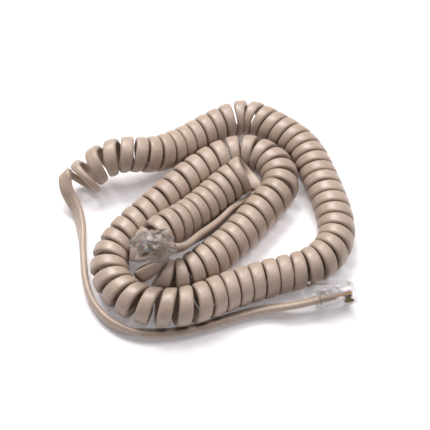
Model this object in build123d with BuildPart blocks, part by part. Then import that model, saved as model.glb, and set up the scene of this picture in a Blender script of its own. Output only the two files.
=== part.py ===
from build123d import *
import math
import os

# Curly telephone handset cord with a 4P4C modular plug on each end.
# Millimetres. The cord lies folded on a table: +Z up, table at Z = 0,
# origin under the middle of the heap.

# ---------------------------------------------------------------- dimensions
COIL_OD = 12.3          # outside diameter of the curled stretch
FLAT_W = 4.3            # width of the flat four-core cord
FLAT_T = 2.2            # thickness of the flat cord
RUN_SHARE = 0.45        # share of the shorter run that each arc takes

PLUG_L = 11.7           # plug length, cable entry to nose
PLUG_W = 7.65           # plug width
PLUG_H = 5.8            # plug height without the latch
PLUG_H_REAR = 5.2       # plug height at the cable entry
PITCH = 1.02            # spacing of the four conductors
JACKET_Z = 3.25         # height of the cord's middle above the contact side
CAVITY_W = 5.0          # cable cavity width
CAVITY_L = 6.2          # cable cavity length
CORE_R = 0.44           # insulated conductor radius
BORE_R = 0.47           # conductor bore radius
BLADE_T = 0.34          # contact blade thickness
SLOT_T = 0.42           # contact slot width
BLADE_X0, BLADE_X1 = 8.3, 11.1
JACKET_OUT = 1.5        # how far the jacket stands out of the plug
LATCH_T = 0.8           # latch arm thickness
LATCH_W = 5.2           # latch width at its shoulders
TAB_W = 3.2             # latch width at its free end
LATCH_RISE = 13.0       # angle between latch arm and plug top, degrees
LATCH_LEN = 12.6        # hinge to free end
HINGE_X, HINGE_Z, HINGE_R = 10.7, 6.32, 0.42

# The frame's origin, in the coordinates that the routes are listed in.
ORIGIN = (-3.2325, 0.905, -0.08)

# Middle line of the curled stretch, as corners of straight runs.
COIL_ROUTE = [
    (-45.10, 12.18, 6.21),
    (-41.28, 17.40, 9.26),
    (-31.33, 20.02, 13.05),
    (-19.65, 22.25, 9.13),
    (-9.07, 31.04, 6.24),
    (1.37, 39.18, 6.13),
    (10.97, 43.72, 6.22),
    (20.95, 37.41, 6.19),
    (31.03, 28.31, 6.18),
    (35.68, 13.63, 6.17),
    (39.47, -0.93, 6.20),
    (39.44, -12.74, 6.19),
    (31.55, -21.75, 6.23),
    (20.05, -25.15, 6.15),
    (5.14, -30.73, 6.63),
    (-8.61, -39.00, 8.37),
    (-21.86, -37.98, 7.84),
    (-30.60, -31.20, 6.56),
    (-34.43, -21.24, 6.19),
    (-30.89, -10.75, 6.11),
    (-19.67, 2.15, 6.27),
    (-8.35, 15.45, 6.14),
    (2.03, 24.23, 6.15),
    (11.54, 27.11, 6.15),
    (20.51, 21.71, 6.14),
    (22.95, 11.07, 6.20),
    (16.25, 2.16, 6.14),
    (6.86, -10.89, 6.18),
    (-4.23, -22.01, 6.50),
    (-12.71, -27.10, 5.93),
    (-19.61, -24.64, 6.98),
    (-21.62, -18.25, 10.12),
    (-17.26, -12.59, 12.20),
    (-6.89, -2.31, 8.12),
    (5.26, 11.96, 7.93),
    (10.05, 14.18, 9.93),
]

# Plug A lies on top of the heap, nose up; plug B lies on the table.
PLUG_A_AT = (-13.99, -25.66, 16.72)
PLUG_A_NOSE = (-0.7199, -0.3441, 0.6028)
PLUG_A_UP = (-0.2511, 0.9388, 0.2360)
PLUG_B_AT = (32.60, -35.90, 2.77)
PLUG_B_NOSE = (0.9567, 0.2909, 0.0000)
PLUG_B_UP = (-0.2105, 0.6921, 0.6904)


def place(points):
    return [Vector(*p) - Vector(*ORIGIN) for p in points]


def plug_plane(at, nose, up):
    return Plane(origin=Vector(*at) - Vector(*ORIGIN), x_dir=Vector(*nose), z_dir=Vector(*up))


def route_radii(name, points):
    """The largest arc that the runs beside each corner allow."""
    radii = []
    for a, b, c in zip(points, points[1:], points[2:]):
        turn = (b - a).get_angle(c - b)
        short = min((b - a).length, (c - b).length)
        radii.append(RUN_SHARE * short / math.tan(math.radians(turn / 2)))
    print(name, "radii", [round(r, 1) for r in radii])
    return radii


coil_points = place(COIL_ROUTE)
plane_a = plug_plane(PLUG_A_AT, PLUG_A_NOSE, PLUG_A_UP)
plane_b = plug_plane(PLUG_B_AT, PLUG_B_NOSE, PLUG_B_UP)

# Where each tail meets the flat jacket end that stands out of its plug.
end_a = plane_a.from_local_coords(Vector(-JACKET_OUT, 0, JACKET_Z))
end_b = plane_b.from_local_coords(Vector(-JACKET_OUT, 0, JACKET_Z))

long_points = place([
    (-48.03, 13.22, 8.05),
    (-50.44, 9.93, 6.13),
    (-46.79, 3.42, 2.25),
    (-43.22, -9.42, 2.20),
    (-42.20, -19.49, 2.20),
    (-39.06, -30.89, 2.20),
    (-32.40, -39.27, 2.20),
    (-23.65, -43.79, 2.20),
    (-14.17, -45.02, 2.20),
    (-3.13, -43.08, 2.20),
    (6.82, -38.73, 2.25),
    (15.68, -36.79, 2.60),
]) + [end_b - plane_b.x_dir * 5.5, end_b]
short_points = place([
    (3.21, 9.15, 8.21),
    (7.28, 4.14, 13.14),
    (7.35, -2.00, 12.99),
    (2.00, -8.75, 13.25),
    (-4.30, -16.10, 13.90),
]) + [end_a - plane_a.x_dir * 4.6, end_a]

# ---------------------------------------------------------------- the cord
with BuildPart() as coil:
    with BuildLine() as coil_line:
        FilletPolyline(*coil_points, radius=route_radii("coil", coil_points))
    with BuildSketch(Plane(origin=coil_line.line @ 0, z_dir=coil_line.line % 0)):
        Circle(COIL_OD / 2)
    sweep(path=coil_line.line)
coil.part.label = "coil"

with BuildPart() as tail_long:
    with BuildLine() as long_line:
        FilletPolyline(*long_points, radius=route_radii("tail_long", long_points))
    with BuildSketch(Plane(origin=long_line.line @ 0, z_dir=long_line.line % 0)):
        Circle(FLAT_W / 2)
    sweep(path=long_line.line)
tail_long.part.label = "tail_long"

# The short tail leaves the side of the curled stretch, so it starts inside it
# and the curled stretch is taken away from it.
with BuildPart() as tail_short:
    with BuildLine() as short_line:
        FilletPolyline(*short_points, radius=route_radii("tail_short", short_points))
    with BuildSketch(Plane(origin=short_line.line @ 0, z_dir=short_line.line % 0)):
        Circle(FLAT_W / 2)
    sweep(path=short_line.line)
    add(coil.part, mode=Mode.SUBTRACT)
tail_short.part.label = "tail_short"

for cord, line, radius in ((coil, coil_line, COIL_OD / 2), (tail_long, long_line, FLAT_W / 2), (tail_short, short_line, FLAT_W / 2)):
    length = sum(e.length for e in line.line.edges())
    print(cord.part.label, "length", round(length, 1), "volume", round(cord.part.volume, 1),
          "section x length", round(math.pi * radius ** 2 * length, 1), "valid", cord.part.is_valid)

# ---------------------------------------------------------------- plug, in its own frame
# X from the cable entry to the nose, Y across, Z from the contact side to the latch side.
core_rows = [(-1.5 + i) * PITCH for i in range(4)]

with BuildPart() as body:
    with BuildSketch(Plane.XZ):
        with BuildLine():
            Polyline((0, 0.35), (0.35, 0), (PLUG_L - 0.4, 0), (PLUG_L, 0.4), (PLUG_L, 6.5), (PLUG_L - 0.5, 6.7),
                     (PLUG_L - 0.5, PLUG_H), (3.0, PLUG_H), (0, PLUG_H_REAR), (0, 0.35))
        make_face()
    extrude(amount=PLUG_W / 2, both=True)
    # the block in front of the latch is narrower than the body
    for side in (-1, 1):
        with BuildSketch(Plane.XY.offset(PLUG_H)):
            with Locations((PLUG_L - 0.5, side * (PLUG_W / 2 - 0.45))):
                Rectangle(2.0, 0.92)
        extrude(amount=2.0, mode=Mode.SUBTRACT)
    # side shoulders: the front half is slightly waisted
    for side in (-1, 1):
        with BuildSketch(Plane.XY.offset(1.2)):
            with Locations((4.2, side * PLUG_W / 2)):
                Rectangle(3.4, 0.5)
        extrude(amount=3.2, mode=Mode.SUBTRACT)
    # cable cavity with a flared mouth
    with BuildSketch(Plane.YZ):
        with Locations((0, JACKET_Z - FLAT_T / 2 + 1.3)):
            Rectangle(CAVITY_W, 2.6)
    extrude(amount=CAVITY_L, mode=Mode.SUBTRACT)
    with BuildSketch(Plane.YZ):
        with Locations((0, JACKET_Z - FLAT_T / 2 + 1.3)):
            Rectangle(CAVITY_W + 0.9, 3.2)
    with BuildSketch(Plane.YZ.offset(0.8)):
        with Locations((0, JACKET_Z - FLAT_T / 2 + 1.3)):
            Rectangle(CAVITY_W, 2.6)
    loft(mode=Mode.SUBTRACT)
    # four conductor bores
    with BuildSketch(Plane.YZ.offset(CAVITY_L - 0.4)):
        with Locations(*[(y, JACKET_Z) for y in core_rows]):
            Circle(BORE_R)
    extrude(amount=PLUG_L - 0.6 - CAVITY_L + 0.4, mode=Mode.SUBTRACT)
    # contact slots
    with BuildSketch(Plane.XY):
        with Locations(*[((BLADE_X0 + BLADE_X1) / 2, y) for y in core_rows]):
            Rectangle(BLADE_X1 - BLADE_X0 + 0.06, SLOT_T)
    extrude(amount=JACKET_Z, mode=Mode.SUBTRACT)
    # windows of the two clamp bars
    with BuildSketch(Plane.XY.offset(JACKET_Z + FLAT_T / 2 - 0.1)):
        with Locations((3.3, 0)):
            Rectangle(2.2, 4.5)
    extrude(amount=4, mode=Mode.SUBTRACT)
    with BuildSketch(Plane.XY.offset(JACKET_Z)):
        with Locations((7.6, 0)):
            Rectangle(1.2, 4.3)
    extrude(amount=4, mode=Mode.SUBTRACT)

with BuildPart() as latch:
    rise = math.radians(LATCH_RISE)
    tip = (HINGE_X - LATCH_LEN * math.cos(rise), HINGE_Z + LATCH_LEN * math.sin(rise))
    nx, nz = math.sin(rise) * LATCH_T / 2, math.cos(rise) * LATCH_T / 2
    with BuildSketch(Plane.XZ):
        with BuildLine():
            Polyline((HINGE_X + nx, HINGE_Z + nz), (tip[0] + nx, tip[1] + nz), (tip[0] - nx, tip[1] - nz),
                     (HINGE_X - nx, HINGE_Z - nz), (HINGE_X + nx, HINGE_Z + nz))
        make_face()
        with Locations((HINGE_X, HINGE_Z)):
            Circle(HINGE_R)
    extrude(amount=LATCH_W / 2, both=True)
    # the tab behind the shoulders is narrower
    for side in (-1, 1):
        with BuildSketch(Plane.XY.offset(HINGE_Z - 1)):
            with Locations((1.8, side * (TAB_W / 2 + 1.0))):
                Rectangle(9.6, 2.0)
        extrude(amount=6, mode=Mode.SUBTRACT)

with BuildPart() as blade:
    with BuildSketch(Plane.XZ):
        with BuildLine():
            Polyline((BLADE_X0, 0.55), (BLADE_X0 + 0.25, 0.3), (BLADE_X1 - 0.25, 0.3), (BLADE_X1, 0.55),
                     (BLADE_X1, 1.15), (BLADE_X1 - 0.75, 1.3), (BLADE_X1 - 0.75, 2.0), (BLADE_X1 - 0.35, 2.15),
                     (BLADE_X1 - 0.35, 2.55), (BLADE_X1 - 0.65, JACKET_Z - CORE_R), (BLADE_X1 - 0.95, 2.6),
                     (BLADE_X0 + 0.95, 2.6), (BLADE_X0 + 0.65, JACKET_Z - CORE_R), (BLADE_X0 + 0.35, 2.55),
                     (BLADE_X0 + 0.35, 2.15), (BLADE_X0 + 0.75, 2.0), (BLADE_X0 + 0.75, 1.3), (BLADE_X0, 1.15),
                     (BLADE_X0, 0.55))
        make_face()
    extrude(amount=BLADE_T / 2, both=True)

with BuildPart() as jacket_clamp:
    with BuildSketch(Plane.XY.offset(JACKET_Z + FLAT_T / 2)):
        with Locations((3.3, 0)):
            Rectangle(2.1, 4.4)
    extrude(amount=0.9)
    chamfer(jacket_clamp.edges().group_by(Axis.Z)[-1].filter_by(Axis.Y), 0.35)

with BuildPart() as wire_clamp:
    with BuildSketch(Plane.XY.offset(JACKET_Z + CORE_R)):
        with Locations((7.6, 0)):
            Rectangle(1.1, 4.2)
    extrude(amount=0.9)
    chamfer(wire_clamp.edges().group_by(Axis.Z)[-1].filter_by(Axis.Y), 0.25)

with BuildPart() as jacket_end:
    with BuildSketch(Plane.YZ.offset(-JACKET_OUT)):
        with Locations((0, JACKET_Z)):
            SlotOverall(FLAT_W, FLAT_T)
    extrude(amount=5.6 + JACKET_OUT)

with BuildPart() as core:
    with BuildSketch(Plane.YZ.offset(5.6)):
        with Locations((0, JACKET_Z)):
            Circle(CORE_R)
    extrude(amount=PLUG_L - 0.7 - 5.6)

# ---------------------------------------------------------------- the two plugs in place
os.makedirs("parts", exist_ok=True)
nodes = [coil.part, tail_long.part, tail_short.part]
WIRES = ("yellow", "green", "red", "black")
for tag, plane in (("a", plane_a), ("b", plane_b)):
    at = plane.location
    for name, piece in (("plug_body", body), ("plug_latch", latch), ("jacket_clamp", jacket_clamp),
                        ("wire_clamp", wire_clamp), ("jacket_end", jacket_end)):
        placed = at * piece.part
        placed.label = f"{name}_{tag}"
        nodes.append(placed)
    for i, y in enumerate(core_rows):
        placed = at * (Location((0, y, 0)) * blade.part)
        placed.label = f"contact_{i + 1}_{tag}"
        nodes.append(placed)
        placed = at * (Location((0, y, 0)) * core.part)
        placed.label = f"wire_{WIRES[i]}_{tag}"
        nodes.append(placed)
    print("hinge", tag, plane.from_local_coords(Vector(HINGE_X, 0, HINGE_Z)), "axis", plane.y_dir)
    print("nose", tag, plane.from_local_coords(Vector(PLUG_L, 0, PLUG_H / 2)), "axis", plane.x_dir)

low = [min(tuple(n.bounding_box().min)[k] for n in nodes) for k in range(3)]
high = [max(tuple(n.bounding_box().max)[k] for n in nodes) for k in range(3)]
print("box", [round(v, 3) for v in low], [round(v, 3) for v in high])
for node in nodes:
    export_step(node, f"parts/{node.label}.step")
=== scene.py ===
import math

import bpy
import numpy as np
from mathutils import Matrix, Vector


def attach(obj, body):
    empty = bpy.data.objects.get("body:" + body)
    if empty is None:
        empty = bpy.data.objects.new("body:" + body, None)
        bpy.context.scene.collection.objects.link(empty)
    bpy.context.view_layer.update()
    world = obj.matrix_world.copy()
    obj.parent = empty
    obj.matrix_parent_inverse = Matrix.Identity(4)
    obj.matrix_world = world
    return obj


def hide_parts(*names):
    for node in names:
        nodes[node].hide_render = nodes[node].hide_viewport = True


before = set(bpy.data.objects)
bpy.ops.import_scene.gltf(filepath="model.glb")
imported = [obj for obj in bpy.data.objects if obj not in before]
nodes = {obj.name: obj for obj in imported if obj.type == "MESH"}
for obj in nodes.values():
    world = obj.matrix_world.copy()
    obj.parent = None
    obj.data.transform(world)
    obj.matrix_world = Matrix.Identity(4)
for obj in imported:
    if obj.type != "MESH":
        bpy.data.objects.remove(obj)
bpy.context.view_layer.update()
MM = 0.001

# ------------------------------------------------------------------ camera
TARGET = Vector((3.23, -0.90, 5.08)) * MM
ELEVATION, DISTANCE = math.radians(52.0), 400.0 * MM
TO_CAMERA = Vector((0, -math.cos(ELEVATION), math.sin(ELEVATION)))
cam_data = bpy.data.cameras.new("camera")
cam = bpy.data.objects.new("camera", cam_data)
bpy.context.scene.collection.objects.link(cam)
cam.location = TARGET + TO_CAMERA * DISTANCE
cam.rotation_mode = "QUATERNION"
cam.rotation_quaternion = (-TO_CAMERA).to_track_quat("-Z", "Y")
cam_data.sensor_width = 36.0
cam_data.lens = 101.64
cam_data.clip_start, cam_data.clip_end = 0.01, 20.0
cam_data.dof.use_dof = False
bpy.context.scene.camera = cam

# ------------------------------------------------------------------ the cord's route, millimetres
# Middle line of the curled stretch, from the long tail's end to the short tail's.
COIL = [
    (-41.87, 11.28, 6.29), (-38.05, 16.50, 9.34), (-28.10, 19.12, 13.13), (-16.42, 21.35, 9.21),
    (-5.84, 30.14, 6.32), (4.60, 38.28, 6.21), (14.20, 42.82, 6.30), (24.18, 36.51, 6.27),
    (34.26, 27.41, 6.26), (38.91, 12.73, 6.25), (42.70, -1.84, 6.28), (42.67, -13.65, 6.27),
    (34.78, -22.66, 6.31), (23.28, -26.06, 6.23), (8.37, -31.64, 6.71), (-5.38, -39.90, 8.45),
    (-18.63, -38.88, 7.92), (-27.37, -32.10, 6.64), (-31.20, -22.14, 6.27), (-27.66, -11.66, 6.19),
    (-16.44, 1.25, 6.35), (-5.12, 14.54, 6.22), (5.26, 23.33, 6.23), (14.77, 26.21, 6.23),
    (23.74, 20.80, 6.22), (26.18, 10.17, 6.28), (19.48, 1.26, 6.22), (10.09, -11.80, 6.26),
    (-1.00, -22.91, 6.58), (-9.48, -28.01, 6.01), (-16.38, -25.55, 7.06), (-18.39, -19.15, 10.20),
    (-14.03, -13.49, 12.28), (-3.66, -3.22, 8.20), (8.49, 11.06, 8.01), (13.28, 13.27, 10.01),
]
# Share of the middle line's length at which each of these turns faces away.
TURNS = [(0, 1.3), (0.5, 2.7), (1, 5.3), (2, 11.4), (5, 25.4), (10, 48.2), (15, 70.9), (20, 93.0), (25, 115.5), (30, 139.1), (35, 162.4),
         (38, 176.4), (41, 191.8), (44, 208.3), (47, 223.4), (50, 238.2), (55, 263.0), (60, 287.6), (65, 312.8),
         (70, 337.2), (73, 350.2), (76, 363.6), (80, 381.4), (85, 402.0), (90, 423.1)]

FLAT_W, FLAT_T = 4.45, 2.2
# Ninety turns 10.1 mm across at a 4.7 mm pitch, and two tails of 124 and 44 mm.
COIL_R = 5.04
PER_TURN = 60

# The plugs' cable entries, their noses' and latch sides' directions.
AT_A, NOSE_A, UP_A = np.array((-10.7575, -26.565, 16.80)), np.array((-0.7199, -0.3441, 0.6028)), np.array((-0.2511, 0.9388, 0.2360))
AT_B, NOSE_B, UP_B = np.array((35.8325, -36.805, 2.85)), np.array((0.9567, 0.2909, 0.0)), np.array((-0.2105, 0.6921, 0.6904))
Y_A, Y_B = np.cross(UP_A, NOSE_A), np.cross(UP_B, NOSE_B)
END_A = AT_A - 1.5 * NOSE_A + 3.25 * UP_A
END_B = AT_B - 1.5 * NOSE_B + 3.25 * UP_B


def unit(v):
    v = np.asarray(v, float)
    return v / np.linalg.norm(v, axis=-1, keepdims=True)


def spline_line(points):
    """The points of a smooth NURBS line through a route, as Blender evaluates it, in millimetres."""
    curve = bpy.data.curves.new("route", "CURVE")
    curve.dimensions = "3D"
    curve.resolution_u = 32
    spline = curve.splines.new("NURBS")
    spline.points.add(len(points) - 1)
    for p, c in zip(spline.points, points):
        p.co = (c[0], c[1], c[2], 1.0)
    spline.order_u = 3
    spline.use_endpoint_u = True
    holder = bpy.data.objects.new("route", curve)
    mesh = bpy.data.meshes.new_from_object(holder)
    line = np.array([v.co for v in mesh.vertices], float)
    bpy.data.meshes.remove(mesh)
    bpy.data.objects.remove(holder)
    bpy.data.curves.remove(curve)
    return line


def along(line):
    return np.concatenate([[0.0], np.cumsum(np.linalg.norm(np.diff(line, axis=0), axis=1))])


def at(line, s, where):
    return np.stack([np.interp(where, s, line[:, k]) for k in range(line.shape[1])], axis=1)


def soften(values, width):
    """Gaussian mean along a list of evenly spaced values."""
    n = int(3 * width) + 1
    k = np.exp(-0.5 * (np.arange(-n, n + 1) / width) ** 2)
    k /= k.sum()
    padded = np.concatenate([np.repeat(values[:1], n, 0), values, np.repeat(values[-1:], n, 0)])
    if values.ndim == 1:
        return np.convolve(padded, k, "valid")
    return np.stack([np.convolve(padded[:, i], k, "valid") for i in range(values.shape[1])], axis=1)


# ------------------------------------------------------------------ the curl
axis = spline_line(COIL)
s_axis = along(axis)
STEP = 0.25
grid = np.arange(0.0, s_axis[-1], STEP)
axis = at(axis, s_axis, grid)
tangent = unit(soften(np.gradient(axis, axis=0), 6))
# The middle line carries straight on past both ends, so that the curl can run out of them.
pre = np.arange(-12.0, 0.0, STEP)
post = grid[-1] + np.arange(STEP, 12.0, STEP)
axis = np.concatenate([axis[0] + pre[:, None] * tangent[0], axis, axis[-1] + (post - grid[-1])[:, None] * tangent[-1]])
tangent = np.concatenate([np.repeat(tangent[:1], len(pre), 0), tangent, np.repeat(tangent[-1:], len(post), 0)])
grid = np.concatenate([pre, grid, post])
total = s_axis[-1]

turn_n = np.array([t[0] for t in TURNS], float)
turn_s = np.array([t[1] for t in TURNS], float)
turn_s *= total / turn_s[-1]
turn_n = np.concatenate([[-1.0, -0.25], turn_n, [91.0]])
turn_s = np.concatenate([[-0.6, 0.6], turn_s, [turn_s[-1] + 4.6]])


def smooth_table(x, y, q):
    """Monotone cubic through a table."""
    h, d = np.diff(x), np.diff(y) / np.diff(x)
    m = np.empty(len(x))
    m[0], m[-1] = d[0], d[-1]
    m[1:-1] = (d[:-1] * h[1:] + d[1:] * h[:-1]) / (h[1:] + h[:-1])
    i = np.clip(np.searchsorted(x, q) - 1, 0, len(x) - 2)
    t = (q - x[i]) / h[i]
    return ((2 * t**3 - 3 * t**2 + 1) * y[i] + (t**3 - 2 * t**2 + t) * h[i] * m[i]
            + (-2 * t**3 + 3 * t**2) * y[i + 1] + (t**3 - t**2) * h[i] * m[i + 1])


N0, N1 = -0.22, 90.10
rng = np.random.default_rng(7)


def wander(n, scale, seed):
    """A slow, repeatable irregularity along the turns."""
    r = np.random.default_rng(seed)
    knots = np.arange(-3, 95)
    return np.interp(n, knots + 0.5, r.normal(0, scale, len(knots)))


def curl(n):
    """Centre of the strand, the middle line's direction and the outward direction, at turn number n."""
    s = smooth_table(turn_n, turn_s, n)
    a = at(axis, grid, s)
    t = unit(at(tangent, grid, s))
    v = np.array(TO_CAMERA)
    e1 = unit(v - (t @ v)[:, None] * t)
    e2 = np.cross(t, e1)
    phi = -2 * math.pi * (n - 0.5)
    out = np.cos(phi)[:, None] * e1 + np.sin(phi)[:, None] * e2
    r = COIL_R * (1 + wander(n, 0.006, 3) + 0.09 * np.clip(1.4 - n, 0, 1) ** 2)
    lean = wander(n, 0.10, 5)
    # each turn leans a little, so the gaps between turns aren't all alike
    c = a + out * r[:, None] + t * (lean * np.cos(phi * 1.0))[:, None]
    return c, t, out


n_curl = np.linspace(N0, N1, int((N1 - N0) * PER_TURN) + 1)
centre, coil_dir, outward = curl(n_curl)


def face(n, depth):
    """The strand's outer or inner face: on the inside of a bend the outer faces crowd together most."""
    c, _, out = curl(n)
    return c + depth * out


room = np.min([np.linalg.norm(face(n_curl + step, depth) - face(n_curl, depth), axis=1)
               for step in (-1.0, 1.0) for depth in (-FLAT_T / 2, FLAT_T / 2)], axis=0)
room = soften(room, 3)
curl_width = np.clip(0.955 * room, 2.2, FLAT_W)

# ------------------------------------------------------------------ the two tails
start_dir = unit(centre[0] - centre[1])
end_dir = unit(centre[-1] - centre[-2])
p0, p1 = centre[0], centre[-1]
LONG = [
    tuple(p0), tuple(p0 + 4.2 * start_dir), (-46.4, 7.9, 8.7), (-44.6, 5.6, 5.3), (-42.1, 1.9, 2.8), (-40.6, -4.6, 2.24),
    (-39.3, -16.5, 2.24), (-38.2, -25.5, 2.24), (-35.2, -34.6, 2.24), (-28.4, -42.6, 2.24), (-17.9, -45.5, 2.26),
    (-4.2, -44.1, 2.26), (9.0, -39.0, 2.26), (18.6, -36.2, 2.45), tuple(END_B - 6.0 * NOSE_B), tuple(END_B),
]
SHORT = [
    tuple(p1), tuple(p1 + 4.0 * end_dir), (16.5, 10.1, 2.9), (13.7, 6.2, 3.3), (11.1, 2.8, 5.2), (8.4, -0.1, 6.5),
    (5.1, -4.6, 6.6), (1.0, -10.0, 8.3), (-3.1, -15.3, 11.4), tuple(END_A - 4.6 * NOSE_A), tuple(END_A),
]


def tail(points, keys, step=0.5):
    """Centres and width directions along a tail. keys are (share of the length, width direction)."""
    line = spline_line(points)
    s = along(line)
    where = np.linspace(0, s[-1], int(s[-1] / step) + 1)
    c = at(line, s, where)
    share = where / where[-1]
    ks = np.array([k[0] for k in keys])
    kd = unit(np.array([k[1] for k in keys], float))
    for i in range(1, len(kd)):
        if kd[i] @ kd[i - 1] < 0:
            kd[i] = -kd[i]
    i = np.clip(np.searchsorted(ks, share) - 1, 0, len(ks) - 2)
    t = np.clip((share - ks[i]) / (ks[i + 1] - ks[i]), 0, 1)
    t = t * t * (3 - 2 * t)
    w = unit(kd[i] * (1 - t)[:, None] + kd[i + 1] * t[:, None])
    return c, w


long_c, long_w = tail(LONG, [(0, coil_dir[0]), (0.05, coil_dir[0]), (0.17, (0.55, -0.25, 0.8)), (0.26, (0.05, 0, 1)), (0.50, (0, 0, 1)), (0.60, (0, -0.80, 0.60)),
                             (0.82, (0.2, -0.76, 0.62)), (0.97, tuple(Y_B)), (1, tuple(Y_B))])
short_c, short_w = tail(SHORT, [(0, coil_dir[-1]), (0.06, coil_dir[-1]), (0.15, (0.12, -0.12, 1)), (0.62, (0.05, -0.05, 1)),
                                (0.9, Y_A), (1, Y_A)])

# plug A's end first: the short tail, the curl, the long tail
line = np.concatenate([short_c[::-1], centre[::-1][1:], long_c[1:]])
wide = np.concatenate([short_w[::-1], coil_dir[::-1][1:], long_w[1:]])
width = np.concatenate([np.full(len(short_c), FLAT_W), curl_width[::-1][1:], np.full(len(long_c) - 1, FLAT_W)])
width = soften(width, 5)
for i in range(1, len(wide)):
    if wide[i] @ wide[i - 1] < 0:
        wide[i] = -wide[i]
fwd = unit(np.gradient(line, axis=0))
fwd = unit(soften(fwd, 1.2))
wide = unit(wide - (wide * fwd).sum(1)[:, None] * fwd)
wide = unit(soften(wide, 3))
wide = unit(wide - (wide * fwd).sum(1)[:, None] * fwd)
thin = np.cross(fwd, wide)


def section(w):
    """Outline of the flat cord, counter-clockwise: rounded edges and faces with a slight crown."""
    r, crown = 0.93, 0.05
    half_w, half_t = w / 2, FLAT_T / 2
    pts = []
    for cx, cy, a0 in ((1, 1, 0), (-1, 1, 90), (-1, -1, 180), (1, -1, 270)):
        for k in range(5):
            a = math.radians(a0 + 90 * k / 4)
            pts.append((cx * (half_w - r) + r * math.cos(a), cy * (half_t - crown - r) + r * math.sin(a), 0))
        if a0 in (0, 180):
            x = cx * (half_w - r)
            for f in (0.45, -0.05, -0.5):
                pts.append((x * f, cy * half_t, 1))
    return pts


RING = len(section(FLAT_W))
profile = np.zeros((len(line), RING, 2))
lo = np.array([[p[0], p[1]] for p in section(3.0)])
hi = np.array([[p[0], p[1]] for p in section(4.0)])
profile = lo[None] + (hi - lo)[None] * (width[:, None, None] - 3.0)
verts = line[:, None, :] + profile[:, :, :1] * wide[:, None, :] + profile[:, :, 1:] * thin[:, None, :]
verts = verts.reshape(-1, 3) * MM
rings = len(line)
a = (np.arange(rings - 1)[:, None] * RING + np.arange(RING)[None]).ravel()
b = (np.arange(rings - 1)[:, None] * RING + (np.arange(RING)[None] + 1) % RING).ravel()
quads = np.stack([a, b, b + RING, a + RING], axis=1)

mesh = bpy.data.meshes.new("cord")
count = len(quads)
mesh.vertices.add(len(verts))
mesh.vertices.foreach_set("co", verts.astype(np.float32).ravel())
cap0 = list(range(RING))[::-1]
cap1 = [(rings - 1) * RING + k for k in range(RING)]
loops = np.concatenate([quads.ravel(), cap0, cap1]).astype(np.int32)
mesh.loops.add(len(loops))
mesh.loops.foreach_set("vertex_index", loops)
mesh.polygons.add(count + 2)
starts = np.concatenate([np.arange(count) * 4, [count * 4, count * 4 + RING]]).astype(np.int32)
mesh.polygons.foreach_set("loop_start", starts)
mesh.update(calc_edges=True)
mesh.validate()
mesh.polygons.foreach_set("use_smooth", np.ones(count + 2, bool))
# u runs along the cord in centimetres, v once round its section
uv = mesh.uv_layers.new(name="strand")
s_line = along(line)
round_at = np.linspace(0, 1, RING + 1)
u_quads = np.stack([np.repeat(s_line[:-1], RING)] * 2 + [np.repeat(s_line[1:], RING)] * 2, axis=1) / 10.0
v0, v1 = np.tile(round_at[:-1], rings - 1), np.tile(round_at[1:], rings - 1)
v_quads = np.stack([v0, v1, v1, v0], axis=1)
flat_uv = np.stack([u_quads.ravel(), v_quads.ravel()], axis=1)
flat_uv = np.concatenate([flat_uv, np.zeros((2 * RING, 2))])
uv.data.foreach_set("uv", flat_uv.astype(np.float32).ravel())
cord = bpy.data.objects.new("cord", mesh)
bpy.context.scene.collection.objects.link(cord)


# ------------------------------------------------------------------ materials
class Nodes:
    """A small helper to write node materials."""

    def __init__(self, name):
        self.mat = bpy.data.materials.new(name)
        self.mat.use_nodes = True
        self.tree = self.mat.node_tree
        self.bsdf = self.tree.nodes["Principled BSDF"]

    def add(self, kind, inputs=None, **props):
        n = self.tree.nodes.new(kind)
        for k, v in props.items():
            setattr(n, k, v)
        for k, v in (inputs or {}).items():
            if isinstance(v, bpy.types.NodeSocket):
                self.tree.links.new(v, n.inputs[k])
            else:
                n.inputs[k].default_value = v
        return n

    def noise(self, vector, scale, detail=3.0, rough=0.5, distort=0.0):
        return self.add("ShaderNodeTexNoise", {"Vector": vector, "Scale": scale, "Detail": detail, "Roughness": rough,
                                               "Distortion": distort}).outputs["Fac"]

    def span(self, value, lo, hi, out_lo, out_hi):
        return self.add("ShaderNodeMapRange", {"Value": value, "From Min": lo, "From Max": hi, "To Min": out_lo,
                                               "To Max": out_hi}).outputs["Result"]

    def ramp(self, value, stops):
        n = self.add("ShaderNodeValToRGB", {"Fac": value})
        e = n.color_ramp.elements
        while len(e) < len(stops):
            e.new(0.5)
        for i, (pos, col) in enumerate(stops):
            e[i].position = pos
            e[i].color = (*col, 1.0)
        return n.outputs["Color"]

    def mix(self, fac, a, b, blend="MIX"):
        n = self.add("ShaderNodeMix", data_type="RGBA", blend_type=blend)
        for key, v in ((0, fac), (6, a), (7, b)):
            if isinstance(v, bpy.types.NodeSocket):
                self.tree.links.new(v, n.inputs[key])
            else:
                n.inputs[key].default_value = v if key == 0 else (*v, 1.0)
        return n.outputs[2]

    def bump(self, height, distance, strength=1.0, normal=None):
        inputs = {"Height": height, "Distance": distance, "Strength": strength}
        if normal is not None:
            inputs["Normal"] = normal
        return self.add("ShaderNodeBump", inputs).outputs["Normal"]

    def set(self, **values):
        for k, v in values.items():
            socket = self.bsdf.inputs[k.replace("_", " ")]
            if isinstance(v, bpy.types.NodeSocket):
                self.tree.links.new(v, socket)
            else:
                socket.default_value = v


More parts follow.
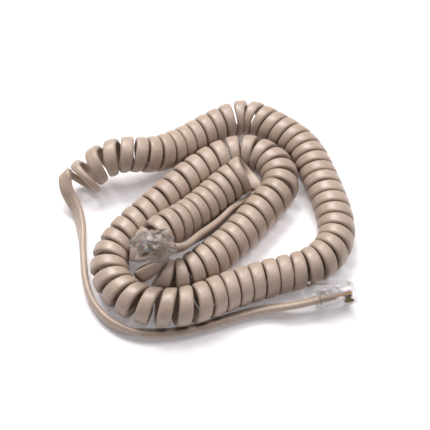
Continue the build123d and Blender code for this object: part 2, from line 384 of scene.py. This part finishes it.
def pvc(name, dark, light, rough, grain=1.0):
    """Extruded PVC: slow shade changes, fine mottling and a satin skin; the jacket adds the drawing lines along the
    strand.
    """
    m = Nodes(name)
    obj = m.add("ShaderNodeTexCoord").outputs["Object"]
    slow = m.noise(obj, 55.0, 2.0, 0.5)
    fine = m.noise(obj, 900.0, 4.0, 0.62)
    dust = m.noise(obj, 3200.0, 2.0, 0.5)
    base = m.ramp(slow, [(0.32, dark), (0.68, light)])
    speck = m.ramp(fine, [(0.38, (0.94, 0.935, 0.93)), (0.62, (1.0, 1.0, 1.0))])
    m.set(Base_Color=m.mix(1.0, base, speck, "MULTIPLY"))
    m.set(Roughness=m.span(m.noise(obj, 260.0, 3.0, 0.6), 0.3, 0.7, rough - 0.05, rough + 0.07))
    m.set(Specular_IOR_Level=0.5)
    n = m.bump(dust, 0.000012 * grain, 0.5)
    n = m.bump(fine, 0.00002 * grain, 0.5, n)
    return m, n


def jacket_material():
    m, n = pvc("cord_jacket", (0.405, 0.312, 0.246), (0.462, 0.360, 0.288), 0.36)
    uv_map = m.add("ShaderNodeUVMap", uv_map="strand").outputs["UV"]
    stretched = m.add("ShaderNodeMapping", {"Vector": uv_map, "Scale": (0.12, 26.0, 1.0)}).outputs["Vector"]
    lines = m.noise(stretched, 3.0, 3.0, 0.55)
    n = m.bump(lines, 0.000035, 0.6, n)
    m.set(Normal=n)
    # painted shade: ambient occlusion darkens the colour down in the gaps between the turns
    gap_shade_mask = m.add("ShaderNodeAmbientOcclusion", {"Distance": 0.0022}, samples=8).outputs["AO"]
    shade = m.ramp(gap_shade_mask, [(0.10, (0.30, 0.25, 0.21)), (0.62, (1.0, 1.0, 1.0))])
    plain = m.bsdf.inputs["Base Color"].links[0].from_socket
    m.set(Base_Color=m.mix(1.0, plain, shade, "MULTIPLY"))
    m.set(Subsurface_Weight=0.03, Subsurface_Scale=0.0006)
    m.bsdf.inputs["Subsurface Radius"].default_value = (1.0, 0.55, 0.35)
    return m.mat


def jacket_end_material():
    m, n = pvc("cord_jacket_end", (0.405, 0.312, 0.246), (0.462, 0.360, 0.288), 0.36)
    m.set(Normal=n)
    m.set(Subsurface_Weight=0.03, Subsurface_Scale=0.0006)
    m.bsdf.inputs["Subsurface Radius"].default_value = (1.0, 0.55, 0.35)
    return m.mat


def clear_material():
    """Clear moulded polycarbonate: faint flow marks, a slight haze and polished faces."""
    m = Nodes("clear_plug")
    obj = m.add("ShaderNodeTexCoord").outputs["Object"]
    flow = m.noise(obj, 420.0, 3.0, 0.55, 0.6)
    haze = m.noise(obj, 150.0, 2.0, 0.5)
    m.set(Base_Color=m.ramp(haze, [(0.3, (0.985, 0.97, 0.975)), (0.7, (1.0, 0.99, 0.99))]))
    m.set(Roughness=m.span(flow, 0.35, 0.7, 0.005, 0.045))
    m.set(Transmission_Weight=1.0, IOR=1.5, Specular_IOR_Level=0.9, Alpha=0.62)
    rounded = m.add("ShaderNodeBevel", {"Radius": 0.00015}, samples=6).outputs["Normal"]
    m.set(Normal=m.bump(flow, 0.000012, 0.15, rounded))
    return m.mat


def gold_material():
    m = Nodes("gold_contact")
    obj = m.add("ShaderNodeTexCoord").outputs["Object"]
    wear = m.noise(obj, 1500.0, 4.0, 0.6)
    brushed = m.noise(m.add("ShaderNodeMapping", {"Vector": obj, "Scale": (400.0, 6000.0, 400.0)}).outputs["Vector"], 1.0, 3.0, 0.6)
    m.set(Base_Color=m.ramp(wear, [(0.35, (0.34, 0.25, 0.12)), (0.65, (0.56, 0.43, 0.22))]))
    m.set(Metallic=1.0, Roughness=m.span(brushed, 0.3, 0.7, 0.18, 0.34))
    m.set(Normal=m.bump(brushed, 0.00001, 0.5))
    return m.mat


def wire_material(name, dark, light):
    m, n = pvc(name, dark, light, 0.28, 0.6)
    m.set(Normal=n)
    return m.mat


jacket = jacket_material()
jacket_end = jacket_end_material()
clear = clear_material()
gold = gold_material()
wires = {
    "yellow": wire_material("wire_yellow", (0.46, 0.20, 0.04), (0.56, 0.28, 0.06)),
    "green": wire_material("wire_green", (0.03, 0.20, 0.06), (0.06, 0.33, 0.12)),
    "red": wire_material("wire_red", (0.50, 0.02, 0.02), (0.66, 0.05, 0.04)),
    "black": wire_material("wire_black", (0.010, 0.010, 0.011), (0.028, 0.027, 0.028)),
}
cord.data.materials.append(jacket)


def give(node, material):
    mats = nodes[node].data.materials
    mats.clear()
    mats.append(material)


for side in "ab":
    for part in ("plug_body", "plug_latch", "jacket_clamp", "wire_clamp"):
        give(f"{part}_{side}", clear)
    for k in range(1, 5):
        give(f"contact_{k}_{side}", gold)
    for colour, material in wires.items():
        give(f"wire_{colour}_{side}", material)
    give(f"jacket_end_{side}", jacket_end)

# ------------------------------------------------------------------ how the cord rides
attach(cord, "cord")
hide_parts("coil", "tail_long", "tail_short")

# ------------------------------------------------------------------ floor and light
floor_mesh = bpy.data.meshes.new("floor")
floor_mesh.from_pydata([(-3, -3, 0), (3, -3, 0), (3, 3, 0), (-3, 3, 0)], [], [(0, 1, 2, 3)])
floor = bpy.data.objects.new("floor", floor_mesh)
bpy.context.scene.collection.objects.link(floor)
fm = Nodes("floor_white")
floor_obj = fm.add("ShaderNodeTexCoord").outputs["Object"]
fm.set(Base_Color=fm.ramp(fm.noise(floor_obj, 30.0, 2.0), [(0.3, (0.90, 0.89, 0.90)), (0.7, (0.92, 0.91, 0.92))]))
fm.set(Roughness=0.9, Specular_IOR_Level=0.1, Emission_Color=(0.97, 0.95, 1.0, 1.0), Emission_Strength=0.17)
floor_mesh.materials.append(fm.mat)


def area(name, place, size, power, colour=(1, 1, 1)):
    data = bpy.data.lights.new(name, "AREA")
    data.shape = "SQUARE"
    data.size = size
    data.energy = power
    data.color = colour
    ob = bpy.data.objects.new(name, data)
    bpy.context.scene.collection.objects.link(ob)
    ob.location = place
    ob.rotation_mode = "QUATERNION"
    ob.rotation_quaternion = (TARGET - Vector(place)).to_track_quat("-Z", "Y")
    return ob


def sky(azimuth, elevation, distance):
    a_, e_ = math.radians(azimuth), math.radians(elevation)
    return tuple(TARGET + Vector((math.sin(a_) * math.cos(e_), -math.cos(a_) * math.cos(e_), math.sin(e_))) * distance)


area("key", sky(-158, 58, 0.9), 0.50, 9.6, (1.0, 0.985, 0.97))
area("top", sky(105, 70, 1.0), 0.40, 3.6, (1.0, 0.97, 0.99))
world = bpy.data.worlds.new("studio")
bpy.context.scene.world = world
world.use_nodes = True
back = world.node_tree.nodes["Background"]
back.inputs["Color"].default_value = (0.97, 0.95, 1.0, 1.0)
back.inputs["Strength"].default_value = 0.20
bpy.context.scene.view_settings.view_transform = "Standard"
bpy.context.scene.view_settings.look = "None"
